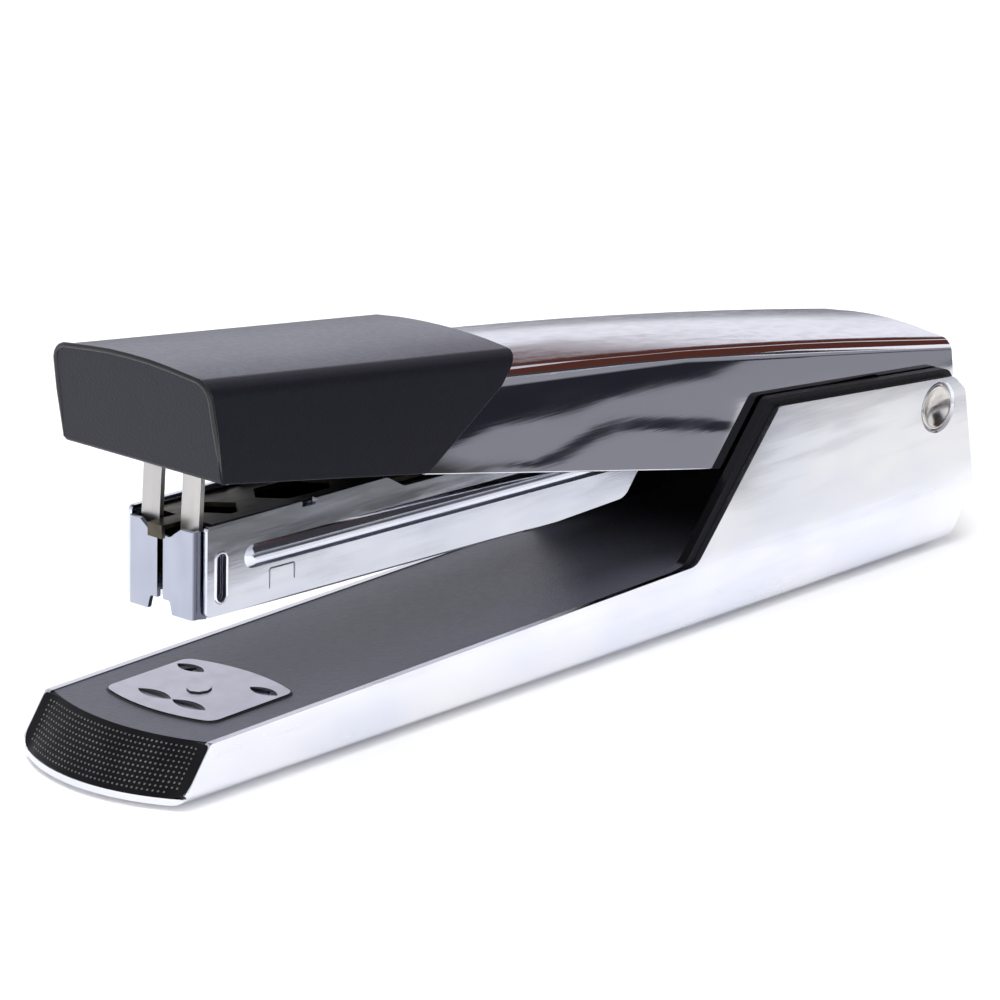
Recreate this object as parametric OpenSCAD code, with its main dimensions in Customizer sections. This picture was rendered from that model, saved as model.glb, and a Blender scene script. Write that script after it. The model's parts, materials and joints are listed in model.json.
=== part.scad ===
// Full-strip desk stapler: chromed steel base channel and handle, black grip cap,
// hinged staple magazine, lifting cover with the handle and driver, turning anvil.
// Lengths run along X from the nose to the hinge, Z is up, and the part is symmetric about Y = 0.

/* [Base] */
// Overall length of the base channel, from nose corner to rear edge
base_len = 179.5; // [179:0.1:181]
// Outside half width of the base channel
base_half = 17.35; // [17.1:0.05:17.6]
// Sheet thickness of the base channel
base_sheet = 1.05; // [1:0.05:1.25]
// Height of the channel's edge at the nose
nose_h = 8.3; // [8.2:0.05:8.4]
// Height of the channel's edge at the foot of the ears
waist_h = 10.3; // [10.2:0.05:10.5]
// Thickness of the rubber pads under the base
foot_h = 0.8; // [0.6:0.1:1.2]

/* [Hinge] */
// Distance of the hinge pin from the nose corner
hinge_x = 169.8; // [169.6:0.05:170]
// Height of the hinge pin above the base channel's underside
hinge_z = 23.4; // [23.3:0.05:23.5]
// Radius of the hinge pin
pin_r = 3.0; // [2.8:0.05:3.1]

/* [Magazine] */
// Distance of the magazine's front edge from the nose corner
mag_x = 15.1; // [15:0.05:15.2]
// Height of the magazine's lower front corner
mag_z = 22.9; // [22.8:0.05:23]
// Slope of the magazine down towards the hinge, degrees
mag_tilt = 1.79; // [1.7:0.01:1.9]
// Outside half width of the magazine case
case_half = 8.25; // [8.2:0.01:8.3]
// Height of the magazine case at its front
case_h = 13.5; // [13.4:0.05:13.6]
// Length of the loaded staple strip
strip_len = 46; // [10:1:46]

/* [Handle] */
// Outside half width of the handle shell
handle_half = 14.2; // [14:0.05:14.25]
// Sheet thickness of the handle shell
handle_sheet = 1.0; // [0.8:0.05:1]
// Lengthwise radius of the handle's arched top
handle_r = 1450; // [1440:1:1460]
// Rise of the handle's top at its middle over its edges
handle_crown = 1.2; // [0.8:0.1:1.4]
// Angle the handle is pressed through to drive a staple, degrees
press_angle = 3.1; // [3:0.05:3.2]

/* [Grip cap] */
// Outside half width of the cap at its lower edge
cap_half = 16.4; // [16.3:0.05:16.5]
// Wall thickness of the cap
cap_wall = 1.3; // [1.2:0.05:1.35]

/* [Hidden] */

$fn = 64;
tall = 80;                       // longer than any cut needs to be
fit = 0.06;                      // radial clearance of a running fit
nose_bulge = 2.4;                // how far the nose stands forward of the channel at its middle
lip_bow = 5.3;                   // how deep its front edge is bowed over the base's width
origin_x = (base_len - nose_bulge) / 2;
ear_foot = [111.25, waist_h];
ear_front = [130.5, 31.9];
ear_rear = [173.9, 27.8];
bend_r = 2.4;                    // outside radius of the base channel's bends
bend_in = 2.9;                   // radius inside them
liner_half = base_half - base_sheet - 0.05;
cheek_in = 14.65;                // inner face of the liner's cheeks
dimple = 0.7;                    // depth of the dimple round the hinge rivet
nose_x = 7.3;                    // how far back the channel's edge starts at the nose
deck_slope = atan2(waist_h - nose_h, ear_foot[0] - nose_x);
deck_top = nose_h - 0.15;        // the liner lies this high at the channel's front corner

anvil_x = 21.6;
anvil_z = deck_top + (anvil_x - nose_x) * tan(deck_slope);
well_r = 10.3;
post_r = 1.5;
plate_top = 0.36;                // how far the anvil plate stands above the deck

channel_out = case_half - 0.9;   // outside half width of the staple channel
channel_in = channel_out - 0.7;
rail_half = 5.65;
rail_end = 86;                   // rear end of the staple channel and its rail
slot_u = 2.0;                    // rear side of the driver's drop slot
crown_w = 7.75;                  // height of the staples' crowns above the case's underside
rod_w = 3.9;
pusher_u = slot_u + strip_len + 0.1;
pusher_len = 9;
cover_w = 12.2;
bridge_w = 5.32;
rivet_at = [90, 8.5];            // rivets that join the case to its carrier
hinge_u = (hinge_x - mag_x) * cos(mag_tilt) - (hinge_z - mag_z) * sin(mag_tilt);
hinge_w = (hinge_x - mag_x) * sin(mag_tilt) + (hinge_z - mag_z) * cos(mag_tilt);

handle_slope = 9.1;              // slope of the handle's top at its middle
handle_mid = [125.65, 41.9];
frame_slope = 7.3;
cap_slope = 7.43;
cap_top = [9.3, 61.6];

blade_half = 5.95;
blade_t = 0.8;
prong_gap = 4.4;
blade_u = 1.15;                  // middle of the blade in its slot when pressed
blade_w = 0.1;                   // height of its lower edge then

// ---- helpers -------------------------------------------------------------------------

function unit(v) = v / norm(v);
function flat(p) = [p[0], p[1]];

// The points of an arc of radius r that rounds corner b between neighbours a and c
function arc_corner(a, b, c, r, steps = 5) =
    let (u = unit(flat(a) - flat(b)), v = unit(flat(c) - flat(b)),
         open = acos(u * v),
         centre = flat(b) + unit(u + v) * r / sin(open / 2),
         first = flat(b) + u * r / tan(open / 2) - centre,
         start = atan2(first[1], first[0]),
         turn = (cross(flat(b) - flat(a), flat(c) - flat(b)) > 0 ? 1 : -1) * (180 - open))
    [for (i = [0:steps]) centre + r * [cos(start + turn * i / steps), sin(start + turn * i / steps)]];

// An outline whose points [x, y, r] are rounded where they state a radius
function rounded(p) =
    [for (i = [0:len(p) - 1])
        each p[i][2] == undef ? [flat(p[i])]
            : arc_corner(p[(i + len(p) - 1) % len(p)], p[i], p[(i + 1) % len(p)], p[i][2])];

// The outline of a strip of thickness t along a path
function ribbon(path, t) =
    let (n = len(path) - 1,
         off = [for (i = [0:n]) let (d = unit(path[min(i + 1, n)] - path[max(i - 1, 0)]))
                t / 2 * [-d[1], d[0]]])
    concat([for (i = [0:n]) path[i] + off[i]], [for (i = [n:-1:0]) path[i] - off[i]]);

// The whole part's frame: origin under its middle, on the surface it stands on
module placed() translate([-origin_x, 0, foot_h]) children();

// A slab of the outline p, drawn in side view, from y0 to y1
module side_slab(p, y0, y1)
    translate([0, y1, 0]) rotate([90, 0, 0]) linear_extrude(y1 - y0) polygon(rounded(p));

// The same slab on both sides of the middle
module both_sides(p, y0, y1)
    for (s = [-1, 1]) side_slab(p, s < 0 ? -y1 : y0, s < 0 ? -y0 : y1);

// A section drawn looking along X, run from x0 to x1
module run_x(p, x0, x1)
    translate([x0, 0, 0]) rotate([90, 0, 90]) linear_extrude(x1 - x0) polygon(rounded(p));

// A cylinder across the part, along Y
module cross_pin(x, z, r, y0, y1)
    translate([x, y1, z]) rotate([90, 0, 0]) cylinder(r = r, h = y1 - y0);

module at_anvil() translate([anvil_x, 0, anvil_z]) rotate([0, -deck_slope, 0]) children();
module in_magazine() translate([mag_x, 0, mag_z]) rotate([0, mag_tilt, 0]) children();

// The points of a helix about Z, from height 0 up to length
function helix(r, turns, length, start = 0, steps = 16) =
    let (n = round(turns * steps))
    [for (i = [0:n]) [r * cos(start + 360 * i / steps), r * sin(start + 360 * i / steps), length * i / n]];

// Round wire along a path that is never parallel to Z, as one closed tube
module wire_along(path, d, sides = 8) {
    n = len(path) - 1;
    rings = [for (i = [0:n])
        let (along = unit(path[min(i + 1, n)] - path[max(i - 1, 0)]),
             side = unit(cross(along, [0, 0, 1])),
             up = cross(side, along))
        for (k = [0:sides - 1])
            path[i] + d / 2 * (cos(360 * k / sides) * side + sin(360 * k / sides) * up)];
    walls = [for (i = [0:n - 1]) for (k = [0:sides - 1])
        let (l = (k + 1) % sides)
        each [[i * sides + k, (i + 1) * sides + k, (i + 1) * sides + l],
              [i * sides + k, (i + 1) * sides + l, i * sides + l]]];
    ends = [[for (k = [0:sides - 1]) k], [for (k = [sides - 1:-1:0]) n * sides + k]];
    polyhedron(rings, concat(walls, ends));
}

// ---- base ----------------------------------------------------------------------------

// Section of a trough of half width w, with its floor at z and its lower corners rounded
function trough(w, z, r) = [[-w, z, r], [w, z, r], [w, 40], [-w, 40]];

// Side view of the base channel
base_side = [[1.1, 0, 1.6], [nose_x, nose_h, 0.8], [ear_foot[0], ear_foot[1], 3],
             [ear_front[0], ear_front[1], 1.5], [ear_rear[0], ear_rear[1], 3],
             [176.8, 25, 1.5], [base_len, 8.3, 2], [173.3, 0, 1]];

module base_shell() placed() color("gainsboro") difference() {
    union() {
        intersection() {
            difference() {
                run_x(trough(base_half, 0, bend_r), -1, base_len + 1);
                run_x(trough(base_half - base_sheet, base_sheet, bend_in), -2, base_len + 2);
            }
            side_slab(base_side, -base_half - 1, base_half + 1);
        }
        nose_lip();
    }
    cross_pin(hinge_x, hinge_z, pin_r + 0.05, -tall, tall);
    for (s = [-1, 1])
        translate([hinge_x, s * base_half, hinge_z]) rotate([-90 * s, 0, 0])
            translate([0, 0, -dimple]) cylinder(r1 = 3.8, r2 = 4.3, h = dimple + 0.1);
    at_anvil() translate([0, 0, -20]) cylinder(r = 4.3, h = 20);
}

// The bottom sheet's bulged front edge
module nose_lip() {
    r = (base_half * base_half + lip_bow * lip_bow) / (2 * lip_bow);
    intersection() {
        translate([r - nose_bulge, 0, 0]) cylinder(r = r, h = base_sheet, $fn = 200);
        run_x(trough(base_half, 0, bend_r), -nose_bulge - 1, 6);
        linear_extrude(base_sheet) polygon(rounded([[-5, -base_half + 0.6, 3.5], [-5, base_half - 0.6, 3.5],
                                                    [6, base_half - 0.6], [6, -base_half + 0.6]]));
    }
}

// Height of the liner's deck, measured at x
function deck_z(x) = deck_top + (x - nose_x) * tan(deck_slope);

module base_liner() placed() color("dimgray") difference() {
    union() {
        intersection() {
            leaning_nose();
            side_slab([[-8, base_sheet + 0.05], [172.5, base_sheet + 0.05], [175.6, 7], [174.9, 14.4, 0.8],
                       [172.6, 14.4, 0.8], [168.5, deck_z(110), 4], [110, deck_z(110)], [-8, deck_z(-8)]],
                      -liner_half, liner_half);
            run_x(trough(liner_half, base_sheet + 0.05, bend_in), -10, base_len);
        }
        // cheeks inside the ears, showing a little beyond them in front and above
        both_sides([[106, 6], [170, 6], [177.9, 9.5, 2], [176.2, 24.6, 1.5], [173.8, 28.9, 2.5],
                    [129.2, 33.3, 1.5], [109.6, deck_z(109.6) + 0.5, 2.5], [106, deck_z(106)]],
                   cheek_in, liner_half);
    }
    cross_pin(hinge_x, hinge_z, pin_r + 0.05, -tall, tall);
    // hollow underside, in bays between cross ribs
    for (bay = [[36.5, 66], [68, 102], [104, 133], [135, 166]])
        side_slab([[bay[0], 0], [bay[1], 0], [bay[1], deck_z(min(bay[1], 108)) - 1.6, 1],
                   [bay[0], deck_z(min(bay[0], 106)) - 1.6, 1]], -liner_half + 1.6, liner_half - 1.6);
    at_anvil() {
        translate([0, 0, -1.3]) cylinder(r = well_r, h = 5);
        translate([0, 0, -5]) cylinder(r = post_r + fit, h = 8);
        translate([0, 0, -12.9]) cylinder(r = 5.6, h = 10);
    }
}

// The liner's bulged front face, leaning back from the nose and flatter toward its top
module leaning_nose() {
    lean = 43.5;
    span = 14;
    hull() for (end = [[base_sheet, 31, 0], [base_sheet + span, 52, span * tan(lean)]]) for (back = [0, 120])
        translate([end[2] + end[1] + 0.3 - nose_bulge + back, 0, end[0]])
            cylinder(r = end[1], h = 0.01, $fn = 160);
}

module foot_pads() placed() color("black")
    for (x = [[31, 66], [118, 166]])
        translate([0, 0, -foot_h]) linear_extrude(foot_h)
            polygon(rounded([[x[0], -13, 4], [x[1], -13, 4], [x[1], 13, 4], [x[0], 13, 4]]));

// Rivet with dished heads, sunk in the ears' dimples
module hinge_pin() placed() color("silver") translate([hinge_x, 0, hinge_z]) rotate([90, 0, 0]) {
    seat = base_half - dimple + 0.05;
    rim = 3.35;
    dish = 1.1;
    // half of the head's section, from the middle of its dish out over its rim
    head = concat([for (i = [0:6]) [rim * i / 6, seat + 0.5 - dish * (1 - pow(i / 6, 2))]],
                  [[rim + 0.2, seat + 0.48], [rim + 0.35, seat + 0.3], [rim + 0.35, seat], [pin_r, seat]]);
    rotate_extrude() polygon(concat(head, [for (i = [len(head) - 1:-1:0]) [head[i][0], -head[i][1]]]));
}

module hinge_spacers() placed() color("gray") for (s = [-1, 1])
    translate([hinge_x, s * (channel_out + handle_half - handle_sheet) / 2, hinge_z]) rotate([90, 0, 0])
        difference() {
            cylinder(r = 4.4, h = handle_half - handle_sheet - channel_out - 0.2, center = true);
            cylinder(r = pin_r + 0.03, h = tall, center = true);
        }

module hinge_washers() placed() color("gray") for (s = [-1, 1])
    translate([hinge_x, s * (cheek_in + handle_half) / 2, hinge_z]) rotate([90, 0, 0])
        difference() {
            cylinder(r = 5, h = cheek_in - handle_half - 0.1, center = true);
            cylinder(r = pin_r + 0.03, h = tall, center = true);
        }

// Torsion spring on the hinge pin: one arm on the deck, the other under the magazine's bridge
module magazine_spring() placed() color("slategray") {
    wire = 1.1;
    r = 4.4;
    span = 7.6;
    path = concat([[-41, 0, 0]], helix(r, 5.5, span, -90), [[-24, 11.6, span]]);
    translate([hinge_x, -span / 2, hinge_z]) rotate([-90, 0, 0]) wire_along(path, wire);
}

// ---- anvil ---------------------------------------------------------------------------

module anvil_button() placed() color("silver") at_anvil() difference() {
    union() {
        translate([0, 0, -8.1]) cylinder(r = 4.1, h = 1.2);
        translate([0, 0, -7]) cylinder(r = 5.2, h = 0.55);
    }
    translate([0, 0, -9]) cylinder(r = post_r + fit, h = 4);
    translate([0, 0, -9]) cylinder(r = 2.7, h = 1.6);
}

module anvil_spring() placed() color("silver") at_anvil()
    translate([0, 0, -6.2]) wire_along(helix(3.7, 4, 3.05), 0.4);

module anvil_post() placed() color("silver") at_anvil() {
    translate([0, 0, -8]) cylinder(r = 2.5, h = 0.58);
    translate([0, 0, -8]) cylinder(r = post_r, h = 8.5);
    translate([0, 0, -6.4]) cylinder(r = 2.6, h = 0.6);
    translate([0, 0, plate_top + 0.01]) cylinder(r = 1.9, h = 0.25, $fn = 8);
}

// Barrel-shaped outline of the anvil plate
module anvil_outline() {
    bow = 32.8;
    half_x = 10.1;
    half_y = 11.2;
    corner_x = half_x - half_y * half_y / (2 * bow);
    right = concat([[corner_x, -half_y, 2]],
                   [for (y = [-8:2:8]) [half_x - y * y / (2 * bow), y]],
                   [[corner_x, half_y, 2]]);
    polygon(rounded(concat(right, [for (p = right) p[2] == undef ? -p : [-p[0], -p[1], p[2]]])));
}

// A clinch pocket: a shallow pointed trough, along Y, that guides a staple leg as it bends
module pocket(x, y0, y1) {
    long = (y1 - y0) / 2;
    wide = 1.25;
    r = (long * long + wide * wide) / (2 * wide);
    arc = [for (i = [-6:6]) [sqrt(r * r - pow(long * i / 6, 2)) - r + wide, long * i / 6]];
    translate([x, (y0 + y1) / 2, plate_top]) scale([1, 1, 0.6]) rotate([90, 0, 0])
        rotate_extrude($fn = 32) polygon(concat([[0, -long]], arc, [[0, long]]));
}

module anvil_plate() placed() color("silver") at_anvil() difference() {
    union() {
        translate([0, 0, 0.06]) linear_extrude(plate_top - 0.06) anvil_outline();
        translate([0, 0, -1.2]) cylinder(r = well_r - 0.25, h = 1.5);
    }
    translate([0, 0, -2]) cylinder(r = post_r + 0.01, h = 4);
    for (s = [-1, 1]) {
        pocket(-5.5, s < 0 ? -7.1 : 0.1, s < 0 ? -0.1 : 7.1);
        pocket(5.6, s < 0 ? -10.5 : 4.8, s < 0 ? -4.8 : 10.5);
    }
}

// ---- magazine ------------------------------------------------------------------------

// Side view of the magazine case, in the magazine's own frame
case_side = [[0.45, 0, 0.6], [74, 0, 20], [89.5, 0.9, 3], [92.3, 4.6, 2], [96, 5.8, 1.5], [96, 12.1, 2],
             [40.5, 12.1, 2], [37, 14.05, 2], [0.45, case_h, 0.8]];

// Side view of the carrier that joins the case to the hinge, in the same frame
carrier_side = [[87, 4.4, 1.5], [96, 5, 4], [112, 4.1, 10], [135, 3.2, 20], [hinge_u - 3, hinge_w - 5, 3],
                [hinge_u + 5, hinge_w - 5, 4.5], [hinge_u + 5, hinge_w + 5, 4.5],
                [hinge_u - 4, hinge_w + 5, 4], [120, 11.6, 10], [87, 11.6, 1.5]];

module magazine_case() placed() color("lightsteelblue") in_magazine() difference() {
    union() {
        both_sides(case_side, case_half - 0.8, case_half);
        // floor, open at the nose where the staple leaves
        translate([4, -case_half + 0.4, 0]) cube([74, 2 * case_half - 0.8, 0.8]);
        case_rib();
    }
    // inspection slot near the front
    for (z = [3.0, 8.2]) cross_pin(3.2, z, 0.95, -tall, tall);
    translate([2.25, -tall, 3.0]) cube([1.9, 2 * tall, 5.2]);
    // retaining notch in the top edge
    translate([19.4, -tall, 12.9]) cube([2.8, 2 * tall, 3]);
    for (s = [-1, 1]) cross_pin(rivet_at[0], rivet_at[1], 1.22, s * case_half - 2, s * case_half + 2);
}

module magazine_carrier() placed() color("#2a2b2e") in_magazine() difference() {
    union() {
        both_sides(carrier_side, channel_in, channel_out);
        // bridge between the arms, which the torsion spring lifts
        translate([110, -channel_out + 0.3, bridge_w]) cube([9, 2 * channel_out - 0.6, 0.8]);
    }
    cross_pin(hinge_u, hinge_w, pin_r + fit, -tall, tall);
    cross_pin(rivet_at[0], rivet_at[1], 1.22, -tall, tall);
}

module magazine_rivets() placed() color("silver") in_magazine() for (s = [-1, 1])
    translate([rivet_at[0], s * (case_half + channel_in) / 2, rivet_at[1]]) rotate([90, 0, 0]) {
        reach = case_half - channel_in;
        cylinder(r = 1.2, h = reach + 0.2, center = true);
        for (t = [-1, 1]) translate([0, 0, t * (reach / 2 + 0.25)]) cylinder(r = 2, h = 0.46, center = true);
    }

// Long rounded rib, standing a little proud of the side
module case_rib() {
    half_w = 1.8;
    proud = 0.7;
    r = (half_w * half_w + proud * proud) / (2 * proud);
    ends = [9.6, 86];
    for (s = [-1, 1]) intersection() {
        translate([0, s * (case_half + proud - r), 7.55]) {
            translate([ends[0], 0, 0]) rotate([0, 90, 0]) cylinder(r = r, h = ends[1] - ends[0]);
            for (u = ends) translate([u, 0, 0]) sphere(r = r);
        }
        translate([0, s * case_half, 0]) cube([400, 2 * proud + 0.2, 40], center = true);
    }
}

module staple_channel() placed() color("lightsteelblue") in_magazine() difference() {
    union() {
        both_sides([[3, 0.3], [3.4, 0.3], [3.9, 0.85], [rail_end, 0.85, 1], [rail_end, 11.5, 1.5], [40, 11.5],
                    [36, 13.2, 2], [3, 13.3]], channel_in, channel_out);
        translate([4, -channel_out + 0.3, 0.85]) cube([rail_end - 4, 2 * channel_out - 0.6, 0.7]);
        channel_nose();
    }
    // inspection slot behind the case's own slot
    for (z = [3.2, 8.0]) cross_pin(3.2, z, 0.75, -tall, tall);
    translate([2.45, -tall, 3.2]) cube([1.5, 2 * tall, 4.8]);
}

// The channel's sides folded round across the nose, leaving a slit between them
module channel_nose() {
    sheet = channel_out - channel_in;
    slit = 0.6;
    front = -1.0;
    half = 6.75;
    foot = -0.4;
    top = 12.65;
    difference() {
        translate([0, 0, foot]) linear_extrude(top - foot) difference() {
            polygon(rounded([[front, -half, 0.8], [0.2, -half], [1.2, -channel_out], [3.1, -channel_out],
                             [3.1, channel_out], [1.2, channel_out], [0.2, half], [front, half, 0.8]]));
            polygon(rounded([[front + sheet, sheet - half, 0.3], [1.9, sheet - half], [2.3, -channel_in],
                             [4, -channel_in], [4, channel_in], [2.3, channel_in], [1.9, half - sheet],
                             [front + sheet, half - sheet, 0.3]]));
            square([10, 2 * slit], center = true);
        }
        // the cover's tongue comes down between the folds' tops, and the staple leaves at the foot
        run_x([[-4.2, 14], [-4.2, top], [-2, 11.1, 0.4], [2, 11.1, 0.4], [4.2, top], [4.2, 14]], -3, 2);
        run_x([[-2.7, -1], [2.7, -1], [2.0, 1.6, 0.5], [-2.0, 1.6, 0.5]], -3, 2);
        translate([1.2, -tall, -1]) cube([4, 2 * tall, 1.35]);
    }
    // inner returns that guide the driver
    for (s = [-1, 1]) translate([-0.7, s * (slit + 0.35) - 0.35, 2.6]) cube([1.2, 0.7, 8.3]);
}

module staple_rail() placed() color("silver") in_magazine() difference() {
    translate([slot_u + 0.2, -rail_half, 1.65]) cube([rail_end - slot_u - 0.6, 2 * rail_half, 5.5]);
    translate([slot_u + 1.2, -rail_half + 0.7, 0]) cube([rail_end, 2 * rail_half - 1.4, 6.45]);
    // slot for the pusher's neck
    translate([pusher_u + 1, -1.3, 0]) cube([pusher_len + 23.5, 2.6, 20]);
    translate([0, 0, rod_w]) rotate([0, 90, 0]) cylinder(r = 1.03, h = 20);
}

module guide_rod() placed() color("silver") in_magazine()
    translate([slot_u + 0.25, 0, rod_w]) rotate([0, 90, 0]) cylinder(r = 1, h = rail_end - slot_u - 1.5);

module rod_anchor() placed() color("silver") in_magazine() difference() {
    translate([rail_end - 3.6, -rail_half + 0.75, 1.6]) cube([3, 2 * rail_half - 1.5, 4.8]);
    translate([0, 0, rod_w]) rotate([0, 90, 0]) cylinder(r = 1.01, h = rail_end + 2);
}

// Wire staples glued side by side: crowns over the rail, legs down its sides
module staple_strip() placed() color("silver") in_magazine() {
    count = floor(strip_len / 0.55);
    difference() {
        translate([slot_u, -6.4, 1.75]) cube([count * 0.55, 12.8, crown_w - 1.75]);
        translate([slot_u - 1, -5.8, 0]) cube([strip_len + 2, 11.6, crown_w - 0.5]);
    }
}

module pusher() placed() color("dimgray") in_magazine() difference() {
    union() {
        // saddle over the rail
        difference() {
            translate([pusher_u, -6.4, 1.9]) cube([pusher_len, 12.8, 8.2]);
            translate([pusher_u - 1, -rail_half - 0.1, 0]) cube([pusher_len + 2, 2 * rail_half + 0.2, 7.25]);
        }
        // neck through the rail's slot, and the eye that slides on the rod
        translate([pusher_u + 1.5, -1.15, rod_w]) cube([5, 2.3, 5]);
        translate([pusher_u + 1.5, 0, rod_w]) rotate([0, 90, 0]) cylinder(r = 2.1, h = 5);
    }
    translate([pusher_u - 1, 0, rod_w]) rotate([0, 90, 0]) cylinder(r = 1 + fit, h = pusher_len + 2);
}

module pusher_spring() placed() color("silver") in_magazine() {
    start = pusher_u + 6.75;
    translate([start, 0, rod_w]) rotate([0, 90, 0]) wire_along(helix(1.6, 15, rail_end - 3.85 - start, 0, 12), 0.4, 6);
}

// ---- cover ---------------------------------------------------------------------------

module cover_plate() placed() color("#57523f") in_magazine() difference() {
    union() {
        translate([3.6, -channel_in + 0.15, cover_w]) cube([100, 2 * channel_in - 0.3, 0.7]);
        // tongue that passes between the driver's prongs and hooks into the nose
        translate([-2.1, -1.45, cover_w]) cube([6, 2.9, 0.7]);
        translate([-2.1, -1.45, cover_w - 1.3]) cube([0.7, 2.9, 1.5]);
        // arms back to the hinge
        both_sides([[88, 12], [100, 10.6], [135, 3, 20], [hinge_u - 3, hinge_w - 5, 3],
                    [hinge_u + 5, hinge_w - 5, 4.5], [hinge_u + 5, hinge_w + 5, 4.5],
                    [hinge_u - 4, hinge_w + 5, 4], [112, cover_w + 0.7, 10], [88, cover_w + 0.7]],
                   channel_in - 0.85, channel_in - 0.15);
    }
    // windows that show how many staples are left
    for (w = [[6.5, 14], [18, 33]])
        translate([0, 0, 5]) linear_extrude(20)
            polygon(rounded([[w[0], 0], [w[0] + 3, -3.6, 1], [w[1] - 3, -3.6, 1], [w[1], 0],
                             [w[1] - 3, 3.6, 1], [w[0] + 3, 3.6, 1]]));
    translate([42, -3, 5]) cube([30, 6, 20]);
    cross_pin(hinge_u, hinge_w, pin_r + fit, -tall, tall);
    for (u = [84, 92]) translate([u, 0, 5]) cylinder(r = 1.3, h = 20);
}

module spring_rivets() placed() color("silver") in_magazine() for (u = [84, 92]) {
    translate([u, 0, cover_w - 0.6]) cylinder(r = 2, h = 0.58);
    translate([u, 0, cover_w - 0.1]) cylinder(r = 1.28, h = 1.5);
    translate([u, 0, cover_w + 1.37]) cylinder(r = 2, h = 0.5);
}

// Leaf spring that lifts the handle off the cover, bowed from its rivets up to a curled tip
module handle_spring() placed() color("#30333a") in_magazine() difference() {
    leaf = concat([[98, cover_w + 1.04]],
                  [for (i = [0:8]) [80 - 5 * i, cover_w + 1.04 + 11 * pow(i / 8, 1.5)]],
                  [[37.2, cover_w + 12.4], [34.5, cover_w + 12]]);
    translate([0, 5, 0]) rotate([90, 0, 0]) linear_extrude(10) polygon(ribbon(leaf, 0.6));
    for (u = [84, 92]) translate([u, 0, 5]) cylinder(r = 1.3, h = 30);
}

// ---- handle --------------------------------------------------------------------------

// Side view of the handle shell's sides
handle_side = [[20, 46.4], [50, 39.9, 4], [54.4, 36.95, 1], [121.8, 22.9, 1.5], [129.6, 32.8, 1.5],
               [159, 30.6, 4], [163.2, 22, 3], [hinge_x - 4, hinge_z - 6, 3], [hinge_x + 5, hinge_z - 6, 3.5],
               [177.7, 26.8, 2.5], [176.3, 37], [20, 62]];

// The arched shell of the handle, sunk by `inset` on every face
module handle_arch(inset) {
    centre = handle_mid - handle_r * [sin(handle_slope), cos(handle_slope)];
    half = handle_half - inset;
    edge = 2.2 - inset * 0.9;
    section = concat([[-30, -half], [0 - inset, -half, edge]],
                     [for (y = [-10:4:10]) [handle_crown * (1 - pow(y / 12.5, 2)) - inset, y]],
                     [[0 - inset, half, edge], [-30, half]]);
    translate([centre[0], 0, centre[1]]) rotate([90, 0, 0]) rotate([0, 0, 77.5])
        rotate_extrude(angle = 8.5, $fn = 3600) polygon([for (p = rounded(section)) [p[0] + handle_r, p[1]]]);
}

module handle_shell() placed() color("lavender") difference() {
    intersection() {
        handle_arch(0);
        side_slab(handle_side, -tall, tall);
    }
    handle_arch(handle_sheet);
    cross_pin(hinge_x, hinge_z, pin_r + fit, -tall, tall);
}

module handle_frame() placed() color("gray") translate([18, 0, 52.6]) rotate([0, frame_slope, 0]) difference() {
    translate([0, -12.8, -6]) cube([86, 25.6, 6]);
    translate([-1, -11.8, -7]) cube([88, 23.6, 5.8]);
    translate([42, -6, -7]) cube([38, 12, 10]);
    for (y = [-4, 4]) translate([7, y, -7]) cylinder(r = 1.3, h = 10);
}

module driver_rivets() placed() color("silver") translate([18, 0, 52.6]) rotate([0, frame_slope, 0])
    for (y = [-4, 4]) translate([7, y, 0]) {
        translate([0, 0, 0.02]) cylinder(r = 2.1, h = 0.6);
        translate([0, 0, -2.4]) cylinder(r = 1.28, h = 2.5);
        translate([0, 0, -2.85]) cylinder(r = 2.1, h = 0.6);
    }

// Thin driver: a cross piece with two prongs, bent back under the handle's frame
module driver_blade() placed() color("lightgray") {
    du = blade_u - hinge_u;
    dw = blade_w - hinge_w;
    at = [du * cos(press_angle) + dw * sin(press_angle) + hinge_u,
          dw * cos(press_angle) - du * sin(press_angle) + hinge_w];
    in_magazine() translate([at[0], 0, at[1]]) rotate([0, press_angle, 0]) difference() {
        translate([-blade_t / 2, -blade_half, 0]) cube([blade_t, 2 * blade_half, 19.9]);
        translate([-2, -prong_gap / 2, -1]) cube([4, prong_gap, 14.5]);
    }
    difference() {
        translate([18, 0, 52.6]) rotate([0, frame_slope, 0])
            translate([-0.6, -blade_half, -2.22]) cube([13, 2 * blade_half, 1]);
        translate([18, 0, 52.6]) rotate([0, frame_slope, 0])
            for (y = [-4, 4]) translate([7, y, -7]) cylinder(r = 1.3, h = 10);
    }
}

// The line of the cap's front face
function cap_front(z) = 11.2 - (z - 45.5) * 4 / 29.5;

// The cap's solid form, sunk by `inset` on its top, sides and front
module cap_form(inset) {
    foot = cap_half - inset;
    top = cap_half - 0.4 - inset;
    hollow = inset > 0;
    bottom = hollow ? [20, 20] : [45.5, 37.9];   // heights of its lower edge, front and rear
    past = hollow ? 60 : 0;                      // the hollow runs out at the rear
    intersection() {
        translate([cap_top[0], 0, cap_top[1]]) rotate([0, cap_slope, 0])
            run_x(concat([[-foot, -28], [foot, -28], [top, -1.1 - inset, 2.8]],
                         [for (y = [9:-3:-9]) [y, -pow(y / 15, 2) - inset]],
                         [[-top, -1.1 - inset, 2.8]]), -20, 90);
        side_slab([[cap_front(bottom[0]) + inset, bottom[0], 0.8], [53 + past, bottom[1], 1], [68.8 + past, 47.9, 1.5],
                   [72.8 + past, 52.6], [73.8 + past, 75], [cap_front(75) + inset, 75]], -tall, tall);
    }
}

module grip_cap() placed() color("#26262a") difference() {
    cap_form(0);
    cap_form(cap_wall);
}

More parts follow.
